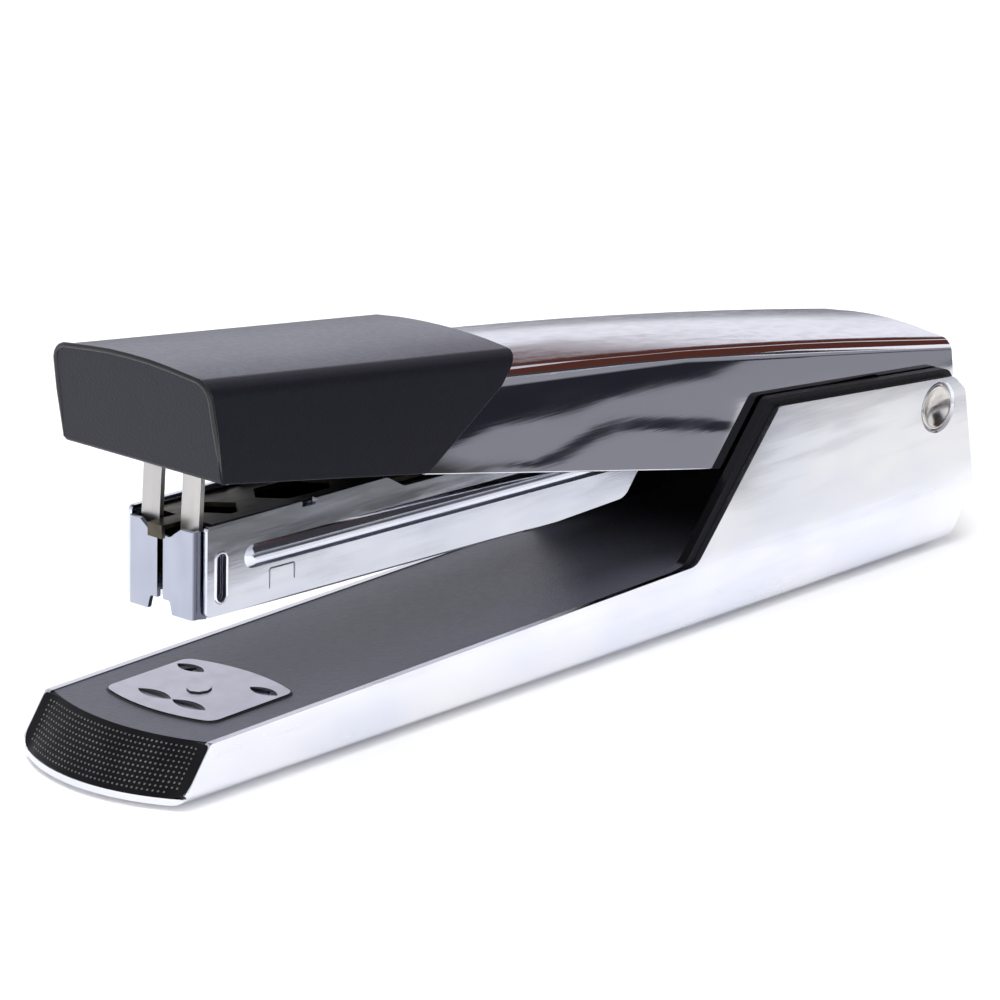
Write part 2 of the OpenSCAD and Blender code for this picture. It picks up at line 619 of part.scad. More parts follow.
base_shell();
base_liner();
foot_pads();
hinge_pin();
hinge_spacers();
hinge_washers();
magazine_spring();
anvil_button();
anvil_spring();
anvil_post();
anvil_plate();
magazine_case();
magazine_carrier();
magazine_rivets();
staple_channel();
staple_rail();
guide_rod();
rod_anchor();
staple_strip();
pusher();
pusher_spring();
cover_plate();
handle_spring();
spring_rivets();
handle_shell();
handle_frame();
grip_cap();
driver_blade();
driver_rivets();
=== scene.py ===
"""The looks of a desk stapler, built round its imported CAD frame. Lengths are in metres."""

import json
import math

import bmesh
import bpy
from mathutils import Matrix, Vector


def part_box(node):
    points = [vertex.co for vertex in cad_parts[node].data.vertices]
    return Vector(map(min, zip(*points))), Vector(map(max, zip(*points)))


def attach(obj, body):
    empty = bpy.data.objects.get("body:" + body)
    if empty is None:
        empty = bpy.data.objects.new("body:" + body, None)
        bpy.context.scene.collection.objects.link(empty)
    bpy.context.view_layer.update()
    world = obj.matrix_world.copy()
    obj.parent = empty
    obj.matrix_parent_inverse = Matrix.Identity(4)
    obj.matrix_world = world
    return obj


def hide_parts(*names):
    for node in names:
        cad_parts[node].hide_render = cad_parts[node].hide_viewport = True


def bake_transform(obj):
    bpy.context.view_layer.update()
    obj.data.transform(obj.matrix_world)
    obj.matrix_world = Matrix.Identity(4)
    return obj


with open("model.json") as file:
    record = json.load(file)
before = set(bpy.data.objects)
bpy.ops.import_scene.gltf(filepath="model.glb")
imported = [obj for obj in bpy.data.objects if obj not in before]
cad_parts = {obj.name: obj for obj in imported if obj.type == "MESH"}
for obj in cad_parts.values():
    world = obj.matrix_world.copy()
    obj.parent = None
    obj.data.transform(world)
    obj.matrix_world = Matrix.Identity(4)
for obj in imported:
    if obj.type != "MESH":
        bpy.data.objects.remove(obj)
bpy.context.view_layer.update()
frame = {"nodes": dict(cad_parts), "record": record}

NODES = frame["nodes"]
MM = 0.001

# ---- the frame's own places ------------------------------------------------------------

shell_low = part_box("base_shell")[0]
cap_low, cap_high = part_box("grip_cap")
case_low, case_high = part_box("magazine_case")

NOSE_BULGE = 2.4 * MM               # how far the base's front edge bulges past its corners
RIB_RISE = 0.7 * MM                 # how far the magazine's rib stands out of its side
DECK_SLOPE = math.radians(1.273)    # the deck rises this much towards the hinge
MAG_TILT = math.radians(1.79)       # the magazine falls this much towards the hinge
CAP_SLOPE = math.radians(7.43)      # the cap's top falls this much towards the hinge
CAP_LEAN = 4 / 29.5                 # the cap's front leans forward this much for its height
CAP_CROWN = Vector((9.3, 0, 61.6)) * MM      # where the cap's crown starts, from the nose
CAP_EDGE = Vector((11.2, 0, 45.5)) * MM      # where the cap's front starts, from the nose
nose = Vector((shell_low.x + NOSE_BULGE, 0, shell_low.z))    # the nose corner of the base
mag_origin = nose + Vector((15.1, 0, 22.9)) * MM             # lower front corner of the magazine
deck_origin = nose + Vector((21.6, 0, 8.42)) * MM            # the anvil's middle, on the deck
case_half = (case_high.y - case_low.y) / 2 - RIB_RISE        # half the magazine's width at its sides
cap_half = (cap_high.y - cap_low.y) / 2


# ---- meshes ----------------------------------------------------------------------------

def piece(name, verts, faces, body=None, smooth=True):
    """A mesh object, with consistent normals."""
    mesh = bpy.data.meshes.new(name)
    mesh.from_pydata([tuple(v) for v in verts], [], faces)
    build = bmesh.new()
    build.from_mesh(mesh)
    bmesh.ops.remove_doubles(build, verts=build.verts, dist=1e-7)
    bmesh.ops.recalc_face_normals(build, faces=build.faces)
    build.to_mesh(mesh)
    build.free()
    for polygon in mesh.polygons:
        polygon.use_smooth = smooth
    made = bpy.data.objects.new(name, mesh)
    bpy.context.scene.collection.objects.link(made)
    if body:
        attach(made, body)
    return made


def soften(made, width, angle=32, segments=3, smooth=True):
    """Rounds an object's edges that turn by more than `angle` degrees, by `width` millimetres."""
    for polygon in made.data.polygons:
        polygon.use_smooth = smooth
    merge = made.modifiers.new("weld", "WELD")
    merge.merge_threshold = 0.002 * MM
    flatten = made.modifiers.new("flatten", "DECIMATE")
    flatten.decimate_type = "DISSOLVE"
    flatten.angle_limit = math.radians(0.4)
    if width:
        round_edges = made.modifiers.new("edges", "BEVEL")
        round_edges.width = width * MM
        round_edges.segments = segments
        round_edges.limit_method = "ANGLE"
        round_edges.angle_limit = math.radians(angle)
        round_edges.use_clamp_overlap = True
        round_edges.loop_slide = False
    if smooth:
        even = made.modifiers.new("shading", "WEIGHTED_NORMAL")
        even.mode = "FACE_AREA"
        even.weight = 60
        even.keep_sharp = False


# ---- materials -------------------------------------------------------------------------

class Tree:
    """A node tree, with short calls for the nodes that the materials share."""

    def __init__(self, tree, coordinates="Object"):
        self.nodes = tree.nodes
        self.links = tree.links
        self.nodes.clear()
        self.place = self.nodes.new("ShaderNodeTexCoord")
        self.coordinates = self.place.outputs[coordinates]

    def spread(self, stretch):
        """Coordinates, stretched so that a texture's grain runs along an axis."""
        mapping = self.nodes.new("ShaderNodeMapping")
        mapping.inputs["Scale"].default_value = stretch
        self.links.new(self.coordinates, mapping.inputs["Vector"])
        return mapping.outputs["Vector"]

    def noise(self, size, stretch=(1, 1, 1), detail=2.0):
        """Noise with features about `size` millimetres across."""
        node = self.nodes.new("ShaderNodeTexNoise")
        node.inputs["Scale"].default_value = 1 / (size * MM)
        node.inputs["Detail"].default_value = detail
        self.links.new(self.spread(stretch), node.inputs["Vector"])
        return node.outputs["Fac"]

    def cells(self, size):
        """Cells about `size` millimetres across."""
        node = self.nodes.new("ShaderNodeTexVoronoi")
        node.inputs["Scale"].default_value = 1 / (size * MM)
        self.links.new(self.coordinates, node.inputs["Vector"])
        return node.outputs["Distance"]

    def part(self, vector, axis):
        """One component of a vector."""
        split = self.nodes.new("ShaderNodeSeparateXYZ")
        self.links.new(vector, split.inputs["Vector"])
        return split.outputs[axis]

    def sideways(self):
        """How far the surface faces along Y, from 0 to 1 either way."""
        return self.math("ABSOLUTE", self.part(self.place.outputs["Normal"], "Y"), 0)

    def up(self):
        """How far the surface faces up, from -1 to 1."""
        return self.part(self.place.outputs["Normal"], "Z")

    def along(self, axis):
        """One coordinate."""
        return self.part(self.coordinates, axis)

    def fit(self, source, low, high, to_low=0.0, to_high=1.0):
        """Remaps a value, clamped."""
        node = self.nodes.new("ShaderNodeMapRange")
        for socket, value in zip(("From Min", "From Max", "To Min", "To Max"), (low, high, to_low, to_high)):
            node.inputs[socket].default_value = value
        self.links.new(source, node.inputs["Value"])
        return node.outputs["Result"]

    def feed(self, value, socket):
        """Sets a socket to a number or a colour, or links it."""
        if isinstance(value, (int, float)):
            socket.default_value = value
        elif isinstance(value, tuple):
            socket.default_value = (*value, 1)
        else:
            self.links.new(value, socket)

    def math(self, operation, a, b):
        node = self.nodes.new("ShaderNodeMath")
        node.operation = operation
        self.feed(a, node.inputs[0])
        self.feed(b, node.inputs[1])
        return node.outputs["Value"]

    def blend(self, factor, a, b):
        """Mixes two numbers."""
        node = self.nodes.new("ShaderNodeMix")
        node.data_type = "FLOAT"
        self.feed(factor, node.inputs["Factor"])
        self.feed(a, node.inputs[2])
        self.feed(b, node.inputs[3])
        return node.outputs[0]

    def mix(self, factor, a, b):
        """Mixes two colours."""
        node = self.nodes.new("ShaderNodeMix")
        node.data_type = "RGBA"
        self.feed(factor, node.inputs["Factor"])
        self.feed(a, node.inputs[6])
        self.feed(b, node.inputs[7])
        return node.outputs[2]

    def levels(self, source, *stops):
        """A value from stops (position, level), joined by straight lines."""
        node = self.nodes.new("ShaderNodeValToRGB")
        low = stops[0][0]
        high = stops[-1][0]
        ramp = node.color_ramp
        for position, level in stops[1:-1]:
            ramp.elements.new((position - low) / (high - low)).color = (level, level, level, 1)
        ramp.elements[0].color = (stops[0][1],) * 3 + (1,)
        ramp.elements[-1].color = (stops[-1][1],) * 3 + (1,)
        self.links.new(self.fit(source, low, high), node.inputs["Fac"])
        return node.outputs["Color"]


class Recipe(Tree):
    """One surface material."""

    def __init__(self, name, colour, metallic, roughness, **sockets):
        self.material = bpy.data.materials.new(name)
        self.material.use_nodes = True
        super().__init__(self.material.node_tree)
        output = self.nodes.new("ShaderNodeOutputMaterial")
        self.shader = self.nodes.new("ShaderNodeBsdfPrincipled")
        self.links.new(self.shader.outputs["BSDF"], output.inputs["Surface"])
        self.shader.inputs["Base Color"].default_value = (*colour, 1)
        self.shader.inputs["Metallic"].default_value = metallic
        self.shader.inputs["Roughness"].default_value = roughness
        for socket, value in sockets.items():
            self.shader.inputs[socket.replace("_", " ")].default_value = value

    def colour(self, source):
        self.links.new(source, self.shader.inputs["Base Color"])

    def roughness(self, source):
        self.links.new(source, self.shader.inputs["Roughness"])

    def bump(self, source, depth):
        """Adds relief `depth` millimetres deep, on top of any that is there."""
        node = self.nodes.new("ShaderNodeBump")
        node.inputs["Distance"].default_value = depth * MM
        self.links.new(source, node.inputs["Height"])
        normal = self.shader.inputs["Normal"]
        if normal.links:
            self.links.new(normal.links[0].from_socket, node.inputs["Normal"])
        self.links.new(node.outputs["Normal"], normal)


def base_chrome():
    """Bright brushed chrome with faint bluish clouding and a few rub marks."""
    r = Recipe("base_chrome", (0.8, 0.8, 0.84), 1.0, 0.2)
    clouds = r.fit(r.noise(24, (1, 1, 1.6)), 0.35, 0.65)
    r.colour(r.mix(clouds, (0.84, 0.84, 0.87), (0.74, 0.76, 0.84)))
    r.roughness(r.fit(r.noise(3, (0.12, 1, 1), 3), 0.45, 0.75, 0.14, 0.32))
    r.bump(r.noise(0.35, (0.03, 1, 1), 2), 0.003)
    r.bump(r.noise(18, (0.5, 1, 1), 1), 0.03)
    return r.material


def magazine_chrome():
    """Cooler chrome plate with drawing marks along it."""
    r = Recipe("magazine_chrome", (0.7, 0.72, 0.78), 1.0, 0.2)
    clouds = r.fit(r.noise(9, (0.5, 1, 1.2)), 0.35, 0.7)
    r.colour(r.mix(clouds, (0.75, 0.77, 0.85), (0.64, 0.67, 0.77)))
    r.roughness(r.fit(r.noise(2.2, (0.15, 1, 1), 3), 0.4, 0.75, 0.08, 0.22))
    r.bump(r.noise(0.3, (0.04, 1, 1), 2), 0.003)
    r.bump(r.noise(9, (0.5, 1, 1), 1), 0.02)
    return r.material


def channel_steel():
    """The inner channel: bluish plate on its nose, its sides painted near black as a painted dark
    reflection.
    """
    r = Recipe("channel_steel", (0.5, 0.53, 0.62), 1.0, 0.25)
    # painted dark reflection: faces that turn sideways are painted near black
    side = r.fit(r.sideways(), 0.6, 0.9)
    clouds = r.fit(r.noise(5, (1, 1, 0.5)), 0.35, 0.7)
    front = r.mix(clouds, (0.45, 0.475, 0.56), (0.39, 0.415, 0.495))
    r.colour(r.mix(side, front, (0.12, 0.125, 0.16)))
    r.roughness(r.fit(r.noise(2, (1, 1, 0.2), 3), 0.4, 0.75, 0.16, 0.26))
    r.bump(r.noise(0.3, (1, 1, 0.05), 2), 0.003)
    return r.material


def handle_chrome():
    """Chrome with a satin top and polished sides that mirror the room in slow waves."""
    r = Recipe("handle_chrome", (0.8, 0.8, 0.84), 1.0, 0.12)
    side = r.fit(r.sideways(), 0.3, 0.5)
    satin = r.fit(r.noise(1.2, (0.3, 1, 1), 2), 0.4, 0.7, 0.15, 0.22)
    polish = r.fit(r.noise(2.5, (0.2, 1, 1), 3), 0.4, 0.8, 0.035, 0.07)
    r.roughness(r.blend(side, satin, polish))
    patches = r.fit(r.noise(14, (0.4, 1, 1), 2), 0.35, 0.7)
    top = r.mix(patches, (0.82, 0.83, 0.92), (0.75, 0.76, 0.85))
    r.colour(r.mix(side, top, (0.84, 0.84, 0.9)))
    r.bump(r.math("MULTIPLY", r.noise(26, (0.5, 0.2, 1.3), 1), side), 0.03)
    r.bump(r.noise(0.35, (0.04, 1, 1), 2), 0.001)
    return r.material


def liner_plastic():
    """Black moulded plastic with a fine pebble grain. Its up-facing deck is painted grey as a painted sheen,
    fading into painted shadow towards the hinge; other faces are near black.
    """
    r = Recipe("liner_plastic", (0.01, 0.01, 0.011), 0.0, 0.34, Specular_IOR_Level=0.24,
               Specular_Tint=(0.85, 0.85, 1, 1))
    clouds = r.fit(r.noise(30, detail=1), 0.3, 0.7)
    # painted sheen: the grey that the deck's up-facing faces are painted
    sheen_grey = r.mix(clouds, (0.078, 0.08, 0.103), (0.09, 0.092, 0.118))
    painted_shadow_falloff = r.fit(r.along("X"), 15 * MM, 42 * MM, 1, 0.1)    # painted shadow: the grey fades towards the hinge, where the ears and the handle cover the rest
    painted_sheen_and_shadow = r.math("MULTIPLY", r.fit(r.up(), 0.85, 0.97), painted_shadow_falloff)
    r.colour(r.mix(painted_sheen_and_shadow, (0.005, 0.005, 0.006), sheen_grey))
    r.roughness(r.fit(r.noise(1.2, detail=3), 0.35, 0.7, 0.3, 0.36))
    r.bump(r.cells(0.5), 0.022)
    r.bump(r.noise(0.25), 0.008)
    return r.material


def cap_plastic():
    """Black satin plastic with a fine leather grain, its top painted grey where it faces up: a painted
    sheen.
    """
    r = Recipe("cap_plastic", (0.008, 0.008, 0.01), 0.0, 0.36, Specular_IOR_Level=0.34,
               Specular_Tint=(0.82, 0.82, 1, 1))
    sheen_grey = r.mix(r.fit(r.noise(26, detail=1), 0.3, 0.7), (0.085, 0.086, 0.113), (0.1, 0.102, 0.132))
    # painted sheen: the top is painted grey where it faces up, most where it faces straight up
    painted_sheen = r.levels(r.up(), (0.8, 0), (0.95, 0.16), (0.98, 0.45), (0.991, 1))
    r.colour(r.mix(painted_sheen, (0.006, 0.006, 0.01), sheen_grey))
    r.roughness(r.fit(r.noise(1.0, detail=3), 0.35, 0.7, 0.32, 0.38))
    r.bump(r.cells(0.4), 0.02)
    r.bump(r.noise(0.2), 0.008)
    return r.material


def metal(name, dark, light, low, high, grain=(1, 1, 1), depth=0.004, size=0.4):
    """A plated or bare metal: mottled colour and roughness, with grain along an axis."""
    r = Recipe(name, light, 1.0, (low + high) / 2)
    r.colour(r.mix(r.fit(r.noise(4, grain, 3), 0.35, 0.7), light, dark))
    r.roughness(r.fit(r.noise(1.5, grain, 3), 0.35, 0.7, low, high))
    r.bump(r.noise(size, grain, 2), depth)
    return r.material


def plastic(name, dark, light, low, high, size=0.4, depth=0.01, gloss=0.4):
    """A moulded plastic or rubber with a slight mottle."""
    r = Recipe(name, light, 0.0, (low + high) / 2, Specular_IOR_Level=gloss)
    r.colour(r.mix(r.fit(r.noise(5), 0.35, 0.7), light, dark))
    r.roughness(r.fit(r.noise(2, detail=3), 0.35, 0.7, low, high))
    r.bump(r.noise(size), depth)
    return r.material


def staple_wire():
    """Bright wires glued side by side, each 0.55 mm thick."""
    r = Recipe("staple_wire", (0.7, 0.7, 0.72), 1.0, 0.24)
    r.colour(r.mix(r.fit(r.noise(4, detail=3), 0.35, 0.7), (0.75, 0.75, 0.77), (0.6, 0.6, 0.62)))
    r.roughness(r.fit(r.noise(1.5, detail=3), 0.35, 0.7, 0.18, 0.3))
    half_wire = 0.275 * MM
    r.bump(r.math("DIVIDE", r.math("PINGPONG", r.along("X"), half_wire), half_wire), 0.12)
    return r.material


def anvil_nickel():
    """Satin nickel, with painted shade wherever it tilts away from up, down in the clinch pockets."""
    r = Recipe("anvil_nickel", (0.53, 0.53, 0.6), 1.0, 0.33)
    plate = r.mix(r.fit(r.noise(4, detail=3), 0.35, 0.7), (0.66, 0.66, 0.75), (0.6, 0.6, 0.68))
    # painted shade: faces that tilt away from up, in the clinch pockets, are painted dark
    r.colour(r.mix(r.fit(r.up(), 0.9, 0.995), (0.07, 0.07, 0.08), plate))
    r.roughness(r.fit(r.noise(1.5, detail=3), 0.35, 0.7, 0.28, 0.36))
    r.bump(r.noise(0.4), 0.004)
    return r.material


def cover_steel():
    """Olive-brown passivated steel."""
    r = Recipe("cover_steel", (0.2, 0.17, 0.1), 1.0, 0.4)
    clouds = r.fit(r.noise(6, (0.6, 1, 1), 3), 0.35, 0.7)
    r.colour(r.mix(clouds, (0.14, 0.125, 0.09), (0.08, 0.072, 0.055)))
    r.roughness(r.fit(r.noise(1.5, (0.3, 1, 1), 3), 0.35, 0.7, 0.28, 0.42))
    r.bump(r.noise(0.3, (0.1, 1, 1), 2), 0.006)
    return r.material


MATERIALS = {
    "base_chrome": base_chrome(),
    "liner_plastic": liner_plastic(),
    "rubber": plastic("rubber", (0.012, 0.012, 0.012), (0.025, 0.025, 0.025), 0.7, 0.85, 0.3, 0.02),
    "rivet_steel": metal("rivet_steel", (0.55, 0.52, 0.5), (0.8, 0.78, 0.76), 0.14, 0.28),
    "plated_steel": metal("plated_steel", (0.5, 0.5, 0.52), (0.68, 0.68, 0.7), 0.22, 0.36),
    "spring_steel": metal("spring_steel", (0.4, 0.4, 0.42), (0.6, 0.6, 0.62), 0.2, 0.3),
    "blued_steel": metal("blued_steel", (0.02, 0.022, 0.03), (0.045, 0.05, 0.065), 0.25, 0.4),
    "anvil_nickel": anvil_nickel(),
    "magazine_chrome": magazine_chrome(),
    "channel_steel": channel_steel(),
    "carrier_black": plastic("carrier_black", (0.01, 0.01, 0.011), (0.02, 0.02, 0.022), 0.35, 0.5),
    "staple_wire": staple_wire(),
    "pusher_plastic": plastic("pusher_plastic", (0.015, 0.015, 0.016), (0.03, 0.03, 0.03), 0.3, 0.45),
    "cover_steel": cover_steel(),
    "handle_chrome": handle_chrome(),
    "frame_steel": metal("frame_steel", (0.1, 0.1, 0.105), (0.16, 0.16, 0.17), 0.35, 0.5, (0.2, 1, 1)),
    "cap_plastic": cap_plastic(),
    "blade_steel": metal("blade_steel", (0.47, 0.46, 0.45), (0.56, 0.55, 0.535), 0.28, 0.36, (1, 1, 0.15)),
}

# How much each CAD node's sharp edges are rounded, in millimetres
EDGES = {
    "base_shell": 0.22, "base_liner": 0.2, "foot_pads": 0.25, "hinge_pin": 0.0, "hinge_spacers": 0.2,
    "hinge_washers": 0.15, "magazine_spring": 0.0, "anvil_button": 0.15, "anvil_spring": 0.0,
    "anvil_post": 0.12, "anvil_plate": 0.12, "magazine_case": 0.15, "magazine_carrier": 0.15,
    "magazine_rivets": 0.15, "staple_channel": 0.15, "staple_rail": 0.12, "guide_rod": 0.15,
    "rod_anchor": 0.15, "staple_strip": 0.1, "pusher": 0.2, "pusher_spring": 0.0, "cover_plate": 0.15,
    "handle_spring": 0.12, "spring_rivets": 0.15, "handle_shell": 0.25, "handle_frame": 0.2,
    "grip_cap": 0.3, "driver_blade": 0.06, "driver_rivets": 0.15,
}

SLOTS = {part["node"]: part["material_slot"] for part in frame["record"]["subparts"]}

for name, slot in SLOTS.items():
    NODES[name].data.materials.clear()
    NODES[name].data.materials.append(MATERIALS[slot])
    soften(NODES[name], EDGES[name], smooth=name != "driver_blade")


# ---- stand-ins for the springs ---------------------------------------------------------

def give(name):
    """Stands a copy of a CAD spring in for it, and hides the CAD spring."""
    source = NODES[name]
    mesh = source.data.copy()
    mesh.transform(source.matrix_world)
    made = bpy.data.objects.new(f"{name}_giving", mesh)
    bpy.context.scene.collection.objects.link(made)
    for polygon in mesh.polygons:
        polygon.use_smooth = name != "handle_spring"
    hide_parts(name)
    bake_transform(made)


bpy.context.view_layer.update()
give("anvil_spring")
give("pusher_spring")
give("handle_spring")


# ---- fine pieces on the CAD nodes ------------------------------------------------------

def tube(name, path, radius, material, body, closed=False, sides=10):
    """A round bead or wire along a path, closed into a ring or rounded off at its ends."""
    count = len(path)
    verts = []
    faces = []
    for i, place in enumerate(path):
        before = path[i - 1] if closed or i else place
        after = path[(i + 1) % count] if closed or i < count - 1 else place
        along = (after - before).normalized()
        aside = (along.orthogonal() if i == 0 else aside - along * aside.dot(along)).normalized()
        over = along.cross(aside)
        shrink = 1 if closed or 0 < i < count - 1 else 0.5
        for k in range(sides):
            a = 2 * math.pi * k / sides
            verts.append(place + (aside * math.cos(a) + over * math.sin(a)) * radius * shrink)
    for i in range(count if closed else count - 1):
        for k in range(sides):
            here = i * sides
            there = (i + 1) % count * sides
            faces.append((here + k, here + (k + 1) % sides, there + (k + 1) % sides, there + k))
    if not closed:
        faces.append(tuple(range(sides)))
        faces.append(tuple(range((count - 1) * sides, count * sides)))
    made = piece(name, verts, faces, body)
    made.data.materials.append(material)
    return made


def in_tilt(origin, slope, u, y, w):
    """A place u along, y across and w above a line that starts at origin and falls by slope."""
    return origin + Vector((u * math.cos(slope) + w * math.sin(slope), y,
                            w * math.cos(slope) - u * math.sin(slope)))


def in_magazine(u, y, w):
    """A place in the magazine's own frame, in millimetres."""
    return in_tilt(mag_origin, MAG_TILT, u * MM, y * MM, w * MM)


def in_cap(y, w):
    """A place on the cap's leaning front face: y across, w above its crown, in millimetres."""
    c = math.cos(CAP_SLOPE)
    n = math.sin(CAP_SLOPE)
    w *= MM
    forward = (CAP_CROWN.z - CAP_EDGE.z + w * c) * CAP_LEAN
    u = (CAP_EDGE.x - CAP_CROWN.x - forward - w * n) / (c - n * CAP_LEAN)
    return in_tilt(nose + CAP_CROWN, CAP_SLOPE, u, y * MM, w)


def cap_bead(corner=2.7, radius=0.42, sunk=0.15):
    """A glossy bead round the cap's front face: up its sides, round its corners, over its crown."""
    half = cap_half / MM
    arch = [(-half, -15.2), (-half + 0.15, -8)]
    arch += [(-half + 0.35 + corner * (1 - math.cos(a)), -1.0 - corner * (1 - math.sin(a)))
             for a in (math.radians(15 * k) for k in range(7))]
    arch += [(-8, -0.45), (-4, -0.15)]
    outline = arch + [(0, -0.08)] + [(-y, w) for y, w in reversed(arch)]
    black = plastic("bead_black", (0.006, 0.006, 0.008), (0.01, 0.01, 0.013), 0.14, 0.2, gloss=0.5)
    bead = tube("cap_bead", [in_cap(y, w) + Vector((sunk * MM, 0, 0)) for y, w in outline], radius * MM,
                black, "handle")


def slot_outline(y, radius, inset, step):
    """The magazine's inspection slot at y: its ends are half circles, moved in by inset."""
    middle_u, foot, top = 3.2, 3.0, 8.2
    return [in_magazine(middle_u + radius * math.cos(a), y,
                        (top - inset if a < math.pi else foot + inset) + radius * math.sin(a))
            for a in (math.radians(step * k) for k in range(360 // step))]


def slot_rim(label, half, finish):
    """A rim pressed round the inspection slot, in a lighter metal than the case: a painted highlight on the
    slot's edge.
    """
    tube(f"slot_rim_{label}", slot_outline(half, 1.15, 0, 15), 0.24 * MM, finish, "magazine",
                 closed=True, sides=8)


def staple_mark(label, half, finish):
    """A staple's plain outline, stamped behind the slot."""
    mark = [(12.9, 2.0), (12.9, 3.5), (12.9, 4.8), (13.1, 5.0), (15.4, 5.0), (17.7, 5.0), (17.9, 4.8),
            (17.9, 3.7), (17.9, 2.6)]
    tube(f"staple_mark_{label}", [in_magazine(u, half, w) for u, w in mark], 0.13 * MM, finish,
                 "magazine", sides=6)


def slot_shade(label, side, inner=6.46, outer=6.58, count=12):
    """A dark sheet between the case and the channel, behind the slot: painted shade inside the slot."""
    verts = [place for y in (inner, outer) for place in slot_outline(side * y, 0.95, 0.2, 360 // count)]
    faces = [tuple(range(count)), tuple(range(count, 2 * count))]
    faces += [(k, (k + 1) % count, count + (k + 1) % count, count + k) for k in range(count)]
    shade = piece(f"slot_shade_{label}", verts, faces, "magazine", smooth=False)
    shade.data.materials.append(MATERIALS["carrier_black"])


def case_hem_painted_shade(label, half, finish):
    """A dark line along the rolled lower edge of the magazine's side: painted shade in the fold."""
    hem = [in_magazine(u, half, 0.06) for u in (1.2, 20, 40, 60, 73)]
    tube(f"case_hem_painted_shade_{label}", hem, 0.16 * MM, finish, "magazine", sides=8)


def magazine_sides(hem_sunk=0.1):
    """The fine pieces on both sides of the magazine."""
    # painted highlight: the slot's rim is given a lighter metal than the case
    bright = metal("rim_painted_highlight", (0.78, 0.8, 0.86), (0.86, 0.87, 0.92), 0.1, 0.18)
    # one grey for the stamped staple mark and for the painted shade along the hem
    grey = metal("mark_and_shade_grey", (0.2, 0.21, 0.26), (0.28, 0.29, 0.34), 0.25, 0.4)
    half = case_half / MM
    for side, label in ((-1, "right"), (1, "left")):
        slot_rim(label, side * half, bright)
        staple_mark(label, side * half, grey)
        slot_shade(label, side)
        case_hem_painted_shade(label, side * (half - hem_sunk), grey)


def face_x(y, z):
    """How far back the nose's front face lies, in millimetres.

    It leans back and is bowed, less so toward its top. Its ends lap over the front edges of the
    base's walls, and the two blend softly.
    """
    foot, rise = 1.05, 14           # the face starts on the base's sheet
    foot_bow, top_bow = 31, 52
    bulge, blend = 2.15, 0.35
    t = (z - foot) / rise
    bow = foot_bow + (top_bow - foot_bow) * t
    leaning = rise * math.tan(math.radians(43.5)) * t - bulge
    bowed = leaning + bow - math.sqrt(bow * bow - y * y)
    wall = 0.95 + 0.747 * z         # just in front of the walls' front edges
    return (bowed + wall - math.hypot(bowed - wall, blend)) / 2


def on_face(y, z):
    """A place on the nose's front face: y across and z up, in millimetres."""
    return nose + Vector((face_x(y, z), y, z)) * MM


def round_off(y, half, radius):
    """How far a corner of that radius, at both ends of a width, cuts in at y."""
    over = max(abs(y) - (half - radius), 0)
    return radius - math.sqrt(max(radius * radius - over * over, 0))


def nose_face(half=17.15, foot=1.02, top=8.06, columns=60, rows=10, depth=0.7):
    """The nose's black front face, from the lip up to the deck."""
    front = []
    for i in range(columns + 1):
        y = half * math.sin(math.pi * (i / columns - 0.5))
        low = foot + round_off(y, half, 2.4)
        high = top - round_off(y, half, 0.5)
        front += [(y, low + (high - low) * k / rows) for k in range(rows + 1)]
    verts = [on_face(y, z) for y, z in front]
    verts += [place + Vector((depth * MM, 0, 0)) for place in verts]
    count = len(front)
    step = rows + 1
    faces = []
    for i in range(columns):
        for k in range(rows):
            a = i * step + k
            faces.append((a, a + 1, a + step + 1, a + step))
            faces.append((count + a, count + a + step, count + a + step + 1, count + a + 1))
        for a in (i * step, i * step + rows):
            faces.append((a, a + step, count + a + step, count + a))
    for k in range(rows):
        for a in (k, columns * step + k):
            faces.append((a, a + 1, count + a + 1, count + a))
    made = piece("nose_face", verts, faces, "base")
    black = plastic("nose_black", (0.003, 0.003, 0.0035), (0.006, 0.006, 0.007), 0.38, 0.46, gloss=0.13)
    made.data.materials.append(black)
    soften(made, 0.12)


def grip_dots(columns=39, rows=10, pitch=0.8, rise=0.62, radius=0.27, height=0.15):
    """Rows of low six-sided dots on the nose's front face, except where its lower corners are round."""
    foot, sunk, small = 1.75, 0.04, 0.05
    corner_y, corner_z, corner = 13.4, 3.95, 2.4
    verts = []
    faces = []
    for row in range(rows):
        for column in range(columns):
            y = pitch * (column - (columns - 1) / 2)
            z = foot + rise * row
            if z < corner_z and math.hypot(max(abs(y) - corner_y, 0), corner_z - z) > corner:
                continue
            place = on_face(y, z)
            across = (on_face(y + small, z) - place).normalized()
            over = (on_face(y, z + small) - place).normalized()
            normal = over.cross(across)
            normal *= -1 if normal.x > 0 else 1
            first = len(verts)
            for k in range(6):
                a = math.pi * k / 3
                ring = across * math.cos(a) * radius + over * math.sin(a) * radius
                verts.append(place + (ring - normal * sunk) * MM)
            verts.append(place + normal * height * MM)
            faces += [(first + k, first + (k + 1) % 6, first + 6) for k in range(6)]
            faces.append(tuple(first + k for k in range(6)))
    dots = piece("nose_grip_dots", verts, faces, "base")
    # painted highlight: the dots are painted lighter grey than the near black face they stand on
    black = plastic("dot_painted_highlight", (0.08, 0.08, 0.085), (0.14, 0.14, 0.145), 0.14, 0.24, gloss=0.7)
    dots.data.materials.append(black)


